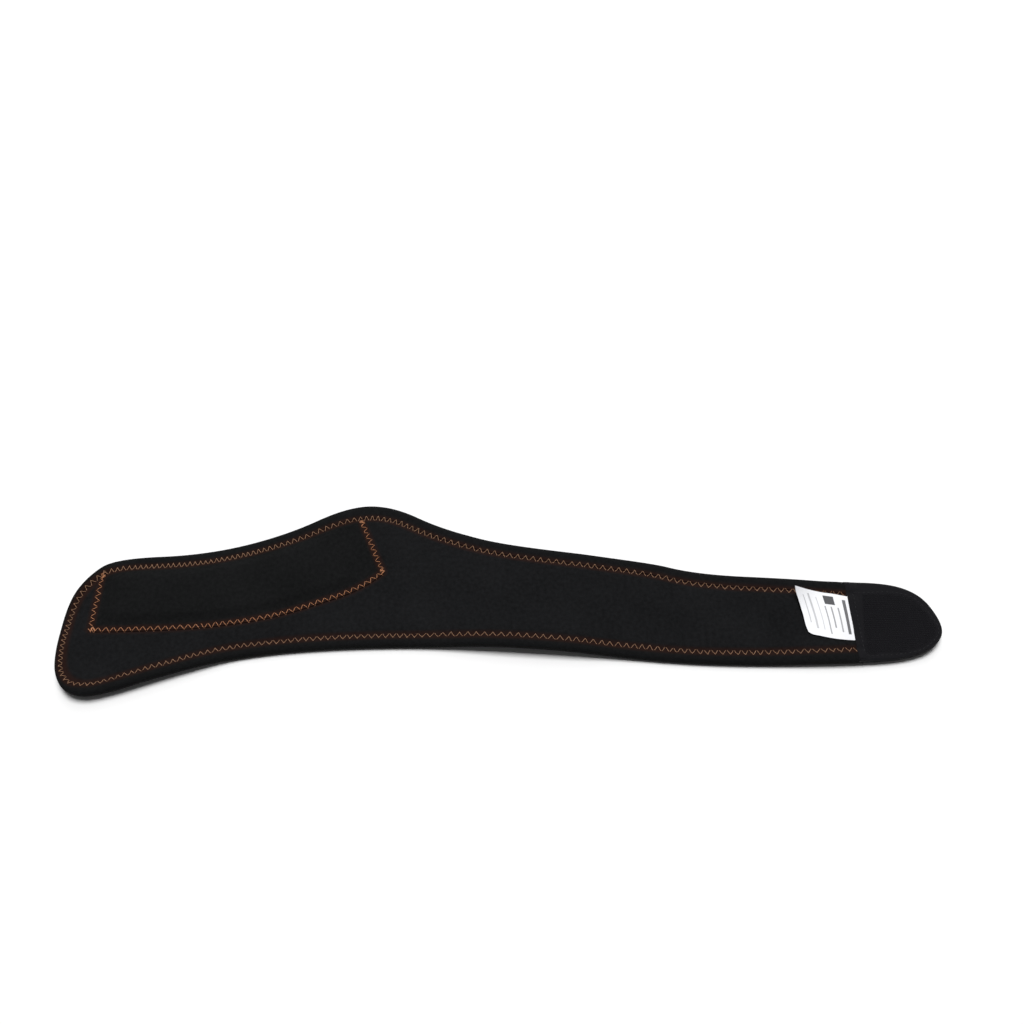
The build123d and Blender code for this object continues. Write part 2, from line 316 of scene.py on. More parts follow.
def padDepth(xy):  # how far in from the pad's edge, negative off it
    margin = insidePocket(xy) - pocket["padMargin"]
    far = pastSeam(xy) - pocket["padMargin"] + pocket["padFar"]
    return np.minimum(np.minimum(margin, far), distanceTo(pocketEnd, xy) - pocket["padEnd"])


def panelHeight(xy):  # the pocket cloth's top
    flush = pocket["flush"] * (1 - smooth((pastSeam(xy) + pocket["flushFrom"]) / pocket["flushWidth"]))
    swell = pocket["padRise"] * smooth(padDepth(xy) / pocket["padSlope"] + pocket["padStart"])
    wave = pocket["wave"] * waves(xy[:, ::-1] * pocket["waveScale"])
    return skinHeight(xy) + pocket["cloth"] + pocket["gap"] - flush + swell + wave


def wrapTop(xy, under=0.5):  # binding out to the seam, lining inside it, unpressed
    bindingTop = lookUp(upperHalf("outer"), edgeOf(xy) / bindingScale(xy))
    return np.where(pastSeam(xy) < -under, bindingTop, skinHeight(xy))


def sewnHeight(xy):  # the surface that the zigzags lie on
    onPanel = (pastSeam(xy) >= -0.5) & (insidePocket(xy) > -pocket["hem"])
    return np.where(onPanel, panelHeight(xy), wrapTop(xy)) * pressed(xy)


def meshFrom(name, points, faces, coords, sharp, **marks):
    # coords is a place on the cloth for each point, and marks are numbers that its finish reads
    mesh = bpy.data.meshes.new(name)
    mesh.from_pydata((np.asarray(points) * mm).tolist(), [], [list(map(int, face)) for face in faces])
    mesh.update()
    corner = np.empty(len(mesh.loops), int)
    mesh.loops.foreach_get("vertex_index", corner)
    layer = mesh.uv_layers.new(name="cloth")
    layer.data.foreach_set("uv", np.asarray(coords, np.float32)[corner].ravel())
    for mark, numbers in marks.items():
        attribute = mesh.attributes.new(mark, "FLOAT", "POINT")
        attribute.data.foreach_set("value", np.asarray(numbers, np.float32))
    mesh.polygons.foreach_set("use_smooth", [True] * len(mesh.polygons))
    mesh.set_sharp_from_angle(angle=math.radians(sharp))
    piece = bpy.data.objects.new(name, mesh)
    bpy.context.scene.collection.objects.link(piece)
    return piece


def fillPoints(loop, spacing):  # staggered points inside a loop
    low, high = loop.min(0), loop.max(0)
    grid = np.array([(x, y) for row, y in enumerate(np.arange(low[1], high[1], spacing * 0.866))
                     for x in np.arange(low[0] + spacing / 2 * (row % 2), high[0], spacing)])
    return grid[inside(loop, grid)]


def closedSheet(name, upper, lower, faces, rim, coords, sharp=50, **marks):
    # a cloth from the two places of each of its points, the faces of its upper side and the sides of its rim
    count = len(upper)
    walls = [[after, here, here + count, after + count] for here, after in rim]
    faces = faces.tolist() + (faces[:, ::-1] + count).tolist() + walls
    return meshFrom(name, np.vstack([upper, lower]), faces, np.vstack([coords, coords]), sharp, **marks)


def sheetFrom(name, loop, extra, lift, marks=None, least=0.35):
    # a closed cloth over a plan: lift gives the upper and the lower place of each point
    extra = extra[inside(loop, extra)]
    extra = extra[distanceTo(np.vstack([loop, loop[:1]]), extra) > least]
    flat = np.vstack([loop, extra])
    found = delaunay_2d_cdt([tuple(p) for p in flat.tolist()], [], [list(range(len(loop)))], 1, 1e-4)
    flat = np.array([tuple(p) for p in found[0]])
    faces = np.array([face for face in found[2] if len(face) == 3])
    turn = np.cross(flat[faces[:, 1]] - flat[faces[:, 0]], flat[faces[:, 2]] - flat[faces[:, 0]])
    faces[turn < 0] = faces[turn < 0][:, ::-1]
    faces = faces[np.abs(turn) > 1e-5]
    sides = np.concatenate([faces[:, [0, 1]], faces[:, [1, 2]], faces[:, [2, 0]]]).tolist()
    known = {tuple(side) for side in sides}
    rim = [side for side in sides if (side[1], side[0]) not in known]
    values = {mark: np.tile(measure(flat), 2) for mark, measure in (marks or {}).items()}
    return closedSheet(name, *lift(flat), faces, rim, flat, **values)


def tubeRuns(name, runs, girth=None, **marks):
    # closed tubes: each run is its rings of points, and girth is the distance round a ring
    points, faces, coords, values = [], [], [], {mark: [] for mark in marks}
    base = 0
    for index, rings in enumerate(runs):
        length, sides = rings.shape[:2]
        points.append(rings.reshape(-1, 3))
        girthAt = np.linspace(0, 1, sides, endpoint=False) if girth is None else girth
        grid = np.meshgrid(runAlong(rings.mean(1)), girthAt, indexing="ij")
        coords.append(np.stack(grid, -1).reshape(-1, 2))
        for mark in marks:
            values[mark].append(marks[mark][index].ravel())
        place = base + np.arange(length * sides).reshape(length, sides)
        around = np.roll(place, -1, 1)
        faces.extend(np.stack([place[:-1], around[:-1], around[1:], place[1:]], -1).reshape(-1, 4).tolist())
        faces += [place[0, ::-1].tolist(), place[-1].tolist()]
        base += length * sides
    values = {mark: np.concatenate(value) for mark, value in values.items()}
    return meshFrom(name, np.concatenate(points), faces, np.concatenate(coords), 75, **values)


def bend(piece, strip):  # the piece's transform is baked into its points
    back, forward = strip["reach"]
    (strip["x"] - back) * mm
    (strip["x"] + forward) * mm
    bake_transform(piece)


class Signal:  # a socket that takes part in sums
    def __init__(self, finish, socket):
        self.finish, self.socket = finish, socket

    def __add__(self, other):
        return self.finish.maths("ADD", self, other)

    def __sub__(self, other):
        return self.finish.maths("SUBTRACT", self, other)

    def __mul__(self, other):
        return self.finish.maths("MULTIPLY", self, other)

    def __truediv__(self, other):
        return self.finish.maths("DIVIDE", self, other)

    def __rsub__(self, other):
        return self.finish.maths("SUBTRACT", other, self)

    __radd__ = __add__


def shade(*colour):
    return (*colour, 1.0)


class Finish:  # a material, and the one way its nodes are made
    def __init__(self, name, roughness, gloss, sheen=0.0, sheenRoughness=0.5):
        self.material = bpy.data.materials.new(name)
        self.material.use_nodes = True
        self.tree = self.material.node_tree
        self.shader = self.tree.nodes["Principled BSDF"]
        self.put("Roughness", roughness)
        self.put("Specular IOR Level", gloss)
        self.put("Sheen Weight", sheen)
        self.put("Sheen Roughness", sheenRoughness)
        self.place = self.node("ShaderNodeUVMap", {"uv_map": "cloth"})
        parts = self.tree.nodes.new("ShaderNodeSeparateXYZ")
        self.feed(parts.inputs[0], self.place)
        # the two directions of the cloth, in millimetres
        self.along, self.across = Signal(self, parts.outputs[0]), Signal(self, parts.outputs[1])

    def node(self, kind, settings=None, inputs=None, output=0):
        made = self.tree.nodes.new(kind)
        for name, value in (settings or {}).items():
            setattr(made, name, value)
        for name, value in (inputs or {}).items():
            self.feed(made.inputs[name], value)
        return Signal(self, made.outputs[output])

    def feed(self, socket, value):
        if isinstance(value, Signal):
            self.tree.links.new(value.socket, socket)
        else:
            socket.default_value = value

    def put(self, socket, value):
        self.feed(self.shader.inputs[socket], value)

    def maths(self, operation, *values):
        return self.node("ShaderNodeMath", {"operation": operation}, dict(enumerate(values)))

    def ribs(self, value, period, shift=0.0):
        return self.maths("SINE", value * (2 * math.pi / period) + shift)

    def near(self, value, place, reach):  # 1 within reach of a place, 0 elsewhere
        return self.maths("LESS_THAN", self.maths("ABSOLUTE", value - place), reach)

    def mark(self, name):
        return self.node("ShaderNodeAttribute", {"attribute_name": name}, output=2)

    def noise(self, scale, detail=2.0, roughness=0.5):
        return self.node("ShaderNodeTexNoise", {"noise_dimensions": "2D"},
                         {"Vector": self.place, "Scale": scale, "Detail": detail, "Roughness": roughness})

    def blend(self, factor, first, second):  # the node keeps the factor between 0 and 1
        first, second = (value if isinstance(value, Signal) else shade(*value) for value in (first, second))
        return self.node("ShaderNodeMix", {"data_type": "RGBA"}, {0: factor, 6: first, 7: second}, output=2)

    def paint(self, factor, first, second):
        self.put("Base Color", self.blend(factor, first, second))

    def bump(self, height, strength, distance):
        self.put("Normal", self.node("ShaderNodeBump", None,
                                     {"Height": height, "Strength": strength, "Distance": distance}))


def knitFinish(name, look):
    # rows of small V loops, slow colour changes, and a painted reddish shade of the thread on the cloth at a
    # seam
    finish = Finish(name, 0.85, look["gloss"])
    wale = finish.ribs(finish.along, look["wale"])
    loops = finish.ribs(finish.across + wale * (0.3 * look["course"]), look["course"])
    grain = finish.noise(look["grain"], 3.0)
    blotches = finish.noise(look["blotch"], 3.0, 0.7)
    cloudy = finish.noise(look["cloud"])
    weave = wale * 0.25 + loops * 0.25 + 0.5
    lit = weave * 0.3 + grain * 0.6 + blotches * 1.2 + cloudy * 0.5 - 0.8
    colour = finish.blend(lit, look["dark"], look["light"])
    # painted shade: beside a seam the cloth turns to the reddish seam shade colour
    finish.paint(finish.mark("seamNear") * (grain * 0.6 + 0.7) * look["seamShade"], colour, look["seamShadeColour"])
    finish.put("Roughness", 0.95 - weave * 0.15)
    finish.bump(weave * 0.7 + grain * 0.6, look["bump"], 0.0002)
    return finish


knit = {
    "wale": 0.62, "course": 0.5, "grain": 1.9, "blotch": 0.45, "cloud": 0.03, "gloss": 0.1, "bump": 0.6,
    "dark": (0.0014, 0.0015, 0.0018), "light": (0.0097, 0.0100, 0.0110),
    # the painted reddish shade beside a seam: its strength and colour
    "seamShade": 0.48, "seamShadeColour": (0.026, 0.0070, 0.0030),
}
skinKnit = knitFinish("skin_knit", knit)
pocketKnit = knitFinish("pocket_knit", {**knit, "dark": (0.0010, 0.0012, 0.0013),
                                        "light": (0.0081, 0.0084, 0.0088)})
bindingKnit = knitFinish("binding_knit", {**knit, "wale": 0.5, "course": 0.42,
                                          "dark": (0.0017, 0.0018, 0.002), "light": (0.0074, 0.0077, 0.0083)})


def threadFinish(name, look):  # twisted thread, with painted shade where it dives into the cloth
    finish = Finish(name, 0.55, 0.35, look["sheen"], 0.35)
    twist = finish.ribs(finish.along / look["lay"] + finish.across, 1)
    fibre = finish.noise(6.0)
    worn = finish.blend(twist * 0.3 + fibre * 0.7 + 0.05, look["dark"], look["light"])
    fresh = finish.blend(fibre, look["fresh"], look["bright"])
    # painted shade: the dive mark turns the thread to its deep colour
    finish.paint(finish.mark("dive") * 1.1, finish.blend(finish.mark("fresh"), worn, fresh), look["deep"])
    finish.bump(twist * 0.5 + fibre * 0.5, 0.5, 0.0001)
    return finish


# deep is the painted shade colour where a thread dives into the cloth
orangeThread = threadFinish("orange_thread", {
    "lay": 0.7, "sheen": 0.15, "dark": (0.205, 0.088, 0.037), "light": (0.68, 0.42, 0.26),
    "deep": (0.055, 0.012, 0.004), "fresh": (0.37, 0.112, 0.037), "bright": (0.88, 0.44, 0.225)})
blackThread = threadFinish("black_thread", {
    "lay": 0.7, "sheen": 0.05, "dark": (0.004, 0.004, 0.005), "light": (0.016, 0.016, 0.019),
    "deep": (0.003, 0.003, 0.004), "fresh": (0.004, 0.004, 0.005), "bright": (0.016, 0.016, 0.019)})

pile = Finish("loop_pile", 0.95, 0.1, 0.12)  # brushed loops, short and matted
tufts, matted = pile.noise(2.2, 4.0, 0.7), pile.noise(0.25)
pile.paint(tufts * 1.1 + matted * 0.5 - 0.3, (0.005, 0.005, 0.006), (0.02, 0.02, 0.022))
pile.bump(tufts * 0.8 + matted * 0.6, 0.9, 0.0004)

foam = Finish("core_foam", 0.9, 0.15)  # cut foam with fine closed cells
cells = foam.node("ShaderNodeTexVoronoi", {"voronoi_dimensions": "2D"}, {"Vector": foam.place, "Scale": 2.5})
foam.paint(cells, (0.008, 0.008, 0.009), (0.02, 0.02, 0.021))
foam.bump(cells, 0.6, 0.0003)

tape = Finish("hook_tape", 0.6, 0.17, 0.05)  # woven nylon under the hooks: close ribs along the tape
ribs = tape.ribs(tape.across, 0.7)
picks = tape.ribs(tape.along, 0.45, ribs * 1.5)
tape.paint(ribs * 0.2 + picks * 0.2 + tape.noise(1.6) * 0.8,
           (0.0009, 0.0008, 0.0016), (0.0049, 0.0046, 0.0074))
tape.put("Roughness", 0.75 - ribs * 0.1)
tape.bump(ribs * 0.5 + picks * 0.5, 0.6, 0.00015)

hookNylon = Finish("hook_nylon", 0.4, 0.22)  # drawn nylon hooks
grain = hookNylon.noise(3.0)
hookNylon.paint(grain, (0.0014, 0.0014, 0.0023), (0.0088, 0.0084, 0.0122))
hookNylon.put("Roughness", 0.3 + grain * 0.3)

label = {
    "seamFar": (201.5, 0.0, 4.7), "seamNear": (201.5, -27.6, 5.0),
    "farEdge": [(200.2, 0.1, 4.95), (192.5, 1.4, 5.55), (185.5, 2.1, 6.3), (178.2, 3.0, 7.9),
                (173.3, 3.3, 10.1)],
    "farCorner": (169.2, 3.4, 12.4),
    "freeEdge": [(169.5, 1.1, 11.0), (170.8, -2.9, 8.9), (171.9, -7.3, 7.5), (172.8, -12.0, 6.8),
                 (174.0, -20.5, 6.1)],
    "nearCorner": (174.7, -22.8, 6.0),
    "nearEdge": [(176.4, -24.0, 6.0), (180.7, -25.1, 6.0), (187.3, -26.6, 6.0), (194.0, -27.5, 5.9)],
    "cloth": 0.22, "size": (29.5, 28.5), "steps": 30, "bulge": 1.3,
    "sewnIn": 1.2,  # how much of its length is out of sight in the seam
    "bendStart": 201.0, "bendEnd": 196.5,
    # plain rules in place of print: how far along the label, from and to across it, width, strength
    "printed": [(4.4, 3, 25, 1.7, 0.86), (8.2, 9, 24, 0.8, 0.6), (11.8, 9, 22, 0.8, 0.65),
                (15.0, 9, 26, 0.7, 0.6), (18.4, 4, 24, 0.5, 0.35), (22.2, 2.5, 24, 1.1, 0.4),
                (25.4, 4, 21, 0.6, 0.4), (12.0, 2, 7.6, 5.2, 0.94)],
    "white": (0.88, 0.88, 0.9), "shadedWhite": (0.76, 0.77, 0.8), "ink": (0.02, 0.02, 0.024),
}

satin = Finish("label_satin", 0.45, 0.35, 0.1)  # white satin tape with plain rules
floats = satin.ribs(satin.across, 0.35, satin.ribs(satin.along, 1.1) * 1.2)
grain = satin.noise(1.5)
white = satin.blend(floats * 0.15 + grain * 0.7 + 0.15, label["shadedWhite"], label["white"])
printed = 0.0
for position, start, end, width, ink in label["printed"]:
    band = satin.near(satin.along, position, width / 2)
    printed = printed + band * satin.near(satin.across, (start + end) / 2, (end - start) / 2) * ink
satin.paint(printed, white, label["ink"])
satin.bump(floats * 0.5 + grain * 0.3, 0.25, 0.0001)


def dress(piece, finish):
    piece.data.materials.append(finish.material)


seamShade = {"width": 1.1, "fade": 2.2}  # the painted reddish shade of the thread on the cloth beside a seam


def seamNear(xy):  # 1 on a zigzag seam, 0 a few millimetres away: where the seam shade is painted
    gap = np.minimum(np.abs(pastSeam(xy)), distanceTo(pocketSeam, xy))
    return 1 - smooth((gap - seamShade["width"]) / seamShade["fade"])


# lines of points beside the seams, so that the cloths can follow them
rings = np.concatenate([insetLoop(seamInset(outline) + past)
                        for past in (-0.6, -0.1, 0.4, 0.9, 1.6, 2.4, 3.3, 4.5, 6.1)])
pocketRings = np.concatenate([pocketSeam[::2] + side * rightOf(ahead(pocketSeam))[::2]
                              for side in (-3.0, -1.9, -1.0, 0, 1.0, 2.1, 3.4, 5.0, 6.8, 8.6)])
skinPlan = insetLoop(seamInset(outline) - skin["tucked"])
# each plan's inset, and how its lower side turns up at the edge
facing = {"inset": 6.45, "top": 0.64, "low": 0.03, "turnUp": 0.02, "turnFrom": 6.4, "turnWidth": 1.5}
core = {
    "inset": 1.0, "low": 0.68, "turnUp": 1.1, "turnFrom": 0.9, "turnWidth": 1.6, "trim": 0.5,
    "gap": 0.02, "rimGap": 0.03, "change": 0.55,  # clear of the lining and the binding; where they change
}
facingPlan = insetLoop(facing["inset"])
corePlan = insetLoop(core["inset"])
tabEndX = wrap["halfLength"] + 5


def wrapPart(plan, strip, trim=0.0):  # a strip's stretch of a plan, ending at the tab seam
    loop = between(plan, strip["start"], strip["end"])
    if strip is tabStrip:
        limit = wrap["seamX"] + wrap["pastSeam"] - trim
        loop[loop[:, 0] > limit, 0] = limit
        loop = apart(loop)
        ends = np.flatnonzero(loop[:, 0] > limit - 0.05)
        edge = evenly(np.array(cornersOf(loop[ends])), 1.0)
        loop = np.vstack([loop[:min(ends)], edge, loop[max(ends) + 1:]])
    return loop


def lowSide(edge, look):  # a cloth's lower side, turned up at its edge
    return look["low"] + look["turnUp"] * (1 - smooth((edge - look["turnFrom"]) / look["turnWidth"]))


def layStrip(strip, name, node, finish, loop, extra, lift, restsOn=(), marks=None):
    # a strip of a piece over its plan, dressed in its finish, with its CAD part hidden
    piece = sheetFrom(name + strip["tag"], loop, extra, lift, marks)
    dress(piece, finish)
    if restsOn:
        [under + strip["tag"] for under in restsOn]
    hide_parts(node + strip["tag"])
    bend(piece, strip)


def liningStrip(strip):
    def lift(xy):
        top = skinHeight(xy) * pressed(xy)
        return raised(xy, top), raised(xy, top - skin["thickness"])
    loop = wrapPart(skinPlan, strip)
    extra = np.vstack([rings, pocketRings, fillPoints(loop, 2.6)])
    layStrip(strip, "lining_strip", "lining", skinKnit, loop, extra, lift, ["core_strip"],
             {"seamNear": seamNear})


def facingStrip(strip):
    def lift(xy):
        return raised(xy, facing["top"]), raised(xy, lowSide(edgeOf(xy), facing))
    loop = wrapPart(facingPlan, strip)
    layStrip(strip, "facing_strip", "loop_facing", pile, loop,
             fillPoints(loop, 3.5), lift, ["core_strip"])


def coreStrip(strip):
    def lift(xy):
        edge, past = edgeOf(xy), pastSeam(xy)
        underSkin = skinHeight(xy) - skin["thickness"] - core["gap"]
        underRim = lookUp(upperHalf("inner")[::-1], edge / bindingScale(xy)) - core["rimGap"]
        top = np.where(past < -skin["tucked"], underRim, np.minimum(underSkin, underRim))
        top = np.where(past > -core["change"], underSkin, top)
        return raised(xy, top * pressed(xy)), raised(xy, lowSide(edge, core))
    loop = wrapPart(corePlan, strip, core["trim"])
    extra = np.vstack([rings[::2], insetLoop(1.6), insetLoop(2.6), fillPoints(loop, 3.5)])
    layStrip(strip, "core_strip", "foam_core", foam, loop, extra, lift)


def outlineRuns(start, end, lead=225):  # the stretches of the outline between two X
    order = np.roll(np.arange(len(outline) - 1), -int(np.flatnonzero(outline[:, 0] > lead)[0]))
    order = np.append(order, order[0])
    stations = np.column_stack([outline, inward, runAlong(outline)])[order]
    runs, run = [], []
    for here, there in zip(stations, stations[1:]):
        for limit in (start, end):
            if (here[0] - limit) * (there[0] - limit) < 0:
                cut = here + (there - here) * (limit - here[0]) / (there[0] - here[0])
                run.append(cut)
                if len(run) > 1:
                    runs.append(np.array(run))
                    run = []
        if start < there[0] < end:
            run.append(there)
    return [run for run in runs if len(run) > 2]


def bindingStrip(strip):
    # the tape folded round the rim, swept along each stretch of the outline and squared off at the tab seam
    section = np.array(binding["outer"] + binding["inner"])
    isUpper = section[:, 1] > binding["rimHeight"]
    limit = wrap["seamX"] + wrap["pastSeam"]
    tubes, near = [], []
    for run in outlineRuns(strip["start"], min(strip["end"], limit + binding["runOn"])):
        distance = section[:, 0] * np.where(isUpper, bindingScale(run[:, :2])[:, None], 1.0)
        flat = (run[:, None, :2] + run[:, None, 2:4] * distance[..., None]).reshape(-1, 2)
        flat[:, 0] = np.minimum(flat[:, 0], limit)
        puckers = binding["pucker"] * np.sin(run[:, 4] / binding["puckerLength"] * math.pi)[:, None]
        puckers = puckers * smooth((section[:, 0] - binding["puckerFrom"]) / binding["puckerBand"])
        height = (section[:, 1] + np.where(isUpper, puckers, 0)).ravel() * pressed(flat)
        tubes.append(raised(flat, height).reshape(len(run), len(section), 3)[:, ::-1])
        # the painted seam shade reaches onto the tape's upper half
        reach = distance - seamInset(run[:, :2])[:, None] + seamShade["width"] + seamShade["fade"]
        near.append(np.where(isUpper, smooth(reach / seamShade["fade"]), 0)[:, ::-1])
    girth = runAlong(section)
    piece = tubeRuns("binding_strip" + strip["tag"], tubes, girth[::-1], seamNear=near)
    dress(piece, bindingKnit)
    "core_strip" + strip["tag"]
    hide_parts("edge_binding" + strip["tag"])
    bend(piece, strip)


for strip in strips:
    for make in (coreStrip, facingStrip, liningStrip, bindingStrip):
        make(strip)
    print("wrap strip", strip["tag"][1:])


def pocketOutline():  # its hem lies outside its own seam, and its far edge in the border seam
    far = insetLoop(seamInset(outline) - 0.4)
    line = pocketSeam + rightOf(ahead(pocketSeam)) * pocket["hem"]
    line = line[(pastSeam(line) > 0.2) & inside(far, line)]
    far = far[(far[:, 1] > 10) & (far[:, 0] > line[0, 0] + 0.5) & (far[:, 0] < line[-1, 0] - 0.5)]
    return np.vstack([line, far[far[:, 0].argsort()][::-1]])


def padOutline():  # the pocket's outline drawn in
    line = pocketSeam - rightOf(ahead(pocketSeam)) * (pocket["padMargin"] + pocket["padDrawnIn"])
    line = line[padDepth(line) > 0.3]
    far = insetLoop(seamInset(outline) + pocket["padMargin"] - 0.4)
    far = far[(far[:, 1] > 8) & (padDepth(far) > 0.3) & (far[:, 0] > line[0, 0] + 0.5)]
    far = far[far[:, 0].argsort()]
    end = evenly(np.array([line[-1], far[-1]]), 2.0)[1:-1]
    return np.vstack([line, end, far[::-1]])


pocketPlan, padPlan = pocketOutline(), padOutline()


def pocketPanel(strip):
    def lift(xy):
        top = panelHeight(xy)
        return raised(xy, top), raised(xy, top - pocket["cloth"])
    loop = between(pocketPlan, strip["start"], strip["end"])
    extra = np.vstack([rings, pocketRings, fillPoints(loop, 2.2)])
    layStrip(strip, "pocket_cloth", "pocket_panel", pocketKnit, loop, extra, lift,
             ["lining_strip", "pocket_foam"], {"seamNear": seamNear})


def pocketFoam(strip):  # the soft pad inside the pocket, thinning at its edge
    def lift(xy):
        low = skinHeight(xy) + pocket["padGap"]
        room = panelHeight(xy) - pocket["cloth"] - pocket["padGap"] - low
        return raised(xy, low + np.maximum(room, pocket["padLeast"])), raised(xy, low)
    loop = between(padPlan, strip["start"], strip["end"])
    layStrip(strip, "pocket_foam", "pocket_pad", foam, loop, fillPoints(loop, 2.6), lift)


for strip in strips[:3]:
    pocketPanel(strip)
    pocketFoam(strip)
print("pocket")

zigzag = {
    # width and pitch: distance along the border from the tab's near corner, value there
    "width": [(0, 3.3), (400, 3.2), (425, 2.6), (500, 2.7), (520, 3.5), (620, 3.4), (700, 3.3)],
    "pitch": [(0, 4.7), (60, 4.3), (105, 4.2), (140, 4.7), (235, 4.8), (255, 4.0), (300, 4.25), (360, 4.0),
              (420, 3.8), (445, 3.1), (480, 3.1), (495, 4.1), (517, 4.2), (523, 3.3), (600, 3.05), (615, 3.5),
              (640, 4.3), (662, 4.2), (675, 3.4), (700, 3.7), (722, 4.6), (970, 4.65)],
    # how much deeper one side's turns go than the other's, so that they also get more painted shade, and
    # where along the border the sides swap
    "uneasy": 0.55, "swaps": (105, 235, 340, 420, 860), "swapLength": 9.0,
    "depth": 0.6, "leastDepth": 0.08, "lineStep": 0.7,
    "pocket": ([(0, 4.25)], [(0, 3.3)]), "pocketRestart": -172.0,
    "tack": ([(0, 2.5)], [(0, 3.0)]), "tackBack": 1.2, "tackOn": 3.2,
    "ply": 0.08, "plyOffset": 0.075, "twist": 1.2, "rise": 0.16, "dive": 0.5, "sway": 0.05,
    "sunk": 0.3,  # the share of a leg over which it sinks at each end
    "steps": 11, "sides": 6,
}
uneven = {"depth": 0.2, "reach": 0.1, "place": 0.15, "pitch": 0.06, "bow": 0.1, "tack": 0.8}
chance = random.Random(7)


def wobble(size):
    return chance.uniform(-size, size)


def zigzagTurns(path, pitch, width, uneasy=0.0):
    # where the thread turns, on alternate sides of a line, as unevenly as a machine sews soft foam
    run = runAlong(path)
    direction = ahead(path)
    turns, at, side = [], 0.3, 1
    while at < run[-1]:
        place, way = valueAt(path, run, at), valueAt(direction, run, at)
        across = unit(np.array([-way[1], way[0]]))
        swapped = math.prod(math.tanh((swap - at) / zigzag["swapLength"]) for swap in zigzag["swaps"])
        deep = zigzag["depth"] - side * uneasy * swapped + wobble(uneven["depth"])
        reach = lookUp(width, at) / 2 * (1 + wobble(uneven["reach"]))
        turn = place + across * side * reach + way * wobble(uneven["place"])
        turns.append((*turn, max(zigzag["leastDepth"], deep)))
        side = -side
        at += lookUp(pitch, at) / 2 * (1 + wobble(uneven["pitch"]))
    return turns


def zigzagLegs(line, spacing, *sewing):  # each leg runs from one turn to the next
    turns = zigzagTurns(evenly(line, spacing), *sewing)
    return list(zip(turns, turns[1:]))


def ringsRound(centres, side, up, radius, sides):  # a ring of points round each point of a line
    turn = np.linspace(0, 2 * math.pi, sides, endpoint=False)[:, None]
    around = np.cos(turn) * side[..., None, :] + np.sin(turn) * up[..., None, :]
    return centres[..., None, :] + radius * around


def threadTubes(legs, heightOf, look):
    # two twisted plies for each leg, low at both ends where they go through the cloth
    share = np.linspace(0, 1, look["steps"])
    ends = np.array(legs)
    depth = (ends[:, 0, 2, None] * smooth(1 - share / look["sunk"])
             + ends[:, 1, 2, None] * smooth(1 - (1 - share) / look["sunk"]))
    way = (ends[:, 1] - ends[:, 0])[:, :2]
    middle = ends[:, 0, None, :2] + way[:, None] * share[None, :, None]
    long = np.linalg.norm(way, axis=1)
    across = np.stack([-way[:, 1], way[:, 0]], axis=1) / long[:, None]
    bow = np.array([wobble(uneven["bow"]) for _ in legs])[:, None] * np.sin(share * math.pi)
    sway = look["sway"] * np.sin(share * 2 * math.pi) * np.where(np.arange(len(legs)) % 2, 1, -1)[:, None]
    middle = middle + across[:, None] * (bow + sway)[..., None]
    ground = heightOf(middle.reshape(-1, 2)).reshape(len(legs), -1)
    ground = 0.5 * ground + 0.25 * np.roll(ground, 1, 1) + 0.25 * np.roll(ground, -1, 1)
    ground[:, 0], ground[:, -1] = ground[:, 1], ground[:, -2]
    arch = np.sin(share * math.pi) ** 0.6
    height = ground + look["plyOffset"] + look["rise"] * arch - look["dive"] * depth
    flat = raised(middle.reshape(-1, 2), height.ravel()).reshape(len(legs), -1, 3)
    side = np.column_stack([across, np.zeros(len(legs))])[:, None]
    up = np.array([0, 0, 1.0])
    tubes, dives = [], []
    for ply in (0, math.pi):
        angle = (ply + share * long[:, None] / look["twist"] * 2 * math.pi)[..., None]
        centres = flat + look["plyOffset"] * (np.cos(angle) * side + np.sin(angle) * up)
        tubes.extend(ringsRound(centres, side, up, look["ply"], look["sides"]))
        # the dive depth, which the finish paints as shade
        dives.extend(np.repeat(depth[:, :, None], look["sides"], axis=2))
    return tubes, dives


def sewOn(legs, name, node, only, finish=orangeThread, heightOf=sewnHeight, look=zigzag,
          fresh=0.0):
    # the legs of a thread, in one piece for each strip that they lie on
    middles = np.array([(a[0] + b[0]) / 2 for a, b in legs])
    for strip in only:
        mine = [leg for leg, x in zip(legs, middles) if strip["start"] <= x < strip["end"]]
        tubes, dives = threadTubes(mine, heightOf, look)
        tag = strip["tag"] if len(only) > 1 else ""
        piece = tubeRuns(name + tag, tubes, dive=dives, fresh=[np.full_like(dive, fresh) for dive in dives])
        dress(piece, finish)
        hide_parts(node + tag)
        bend(piece, strip)


# the border seam from the near end of the tab seam round to its far end
borderLine = (outline + inward * seamInset(outline)[:, None])[:-1]
beyondSeam = borderLine[:, 0] > wrap["seamX"] - 0.6
firstOnWrap = int(np.flatnonzero(beyondSeam & ~np.roll(beyondSeam, -1))[0]) + 1
borderLine = np.roll(borderLine, -firstOnWrap, 0)
lastOnWrap = int(np.flatnonzero(np.roll(beyondSeam, -firstOnWrap))[0])
borderLine = evenly(borderLine[:lastOnWrap], zigzag["lineStep"])
borderLegs = zigzagLegs(borderLine, zigzag["lineStep"], zigzag["pitch"], zigzag["width"], zigzag["uneasy"])

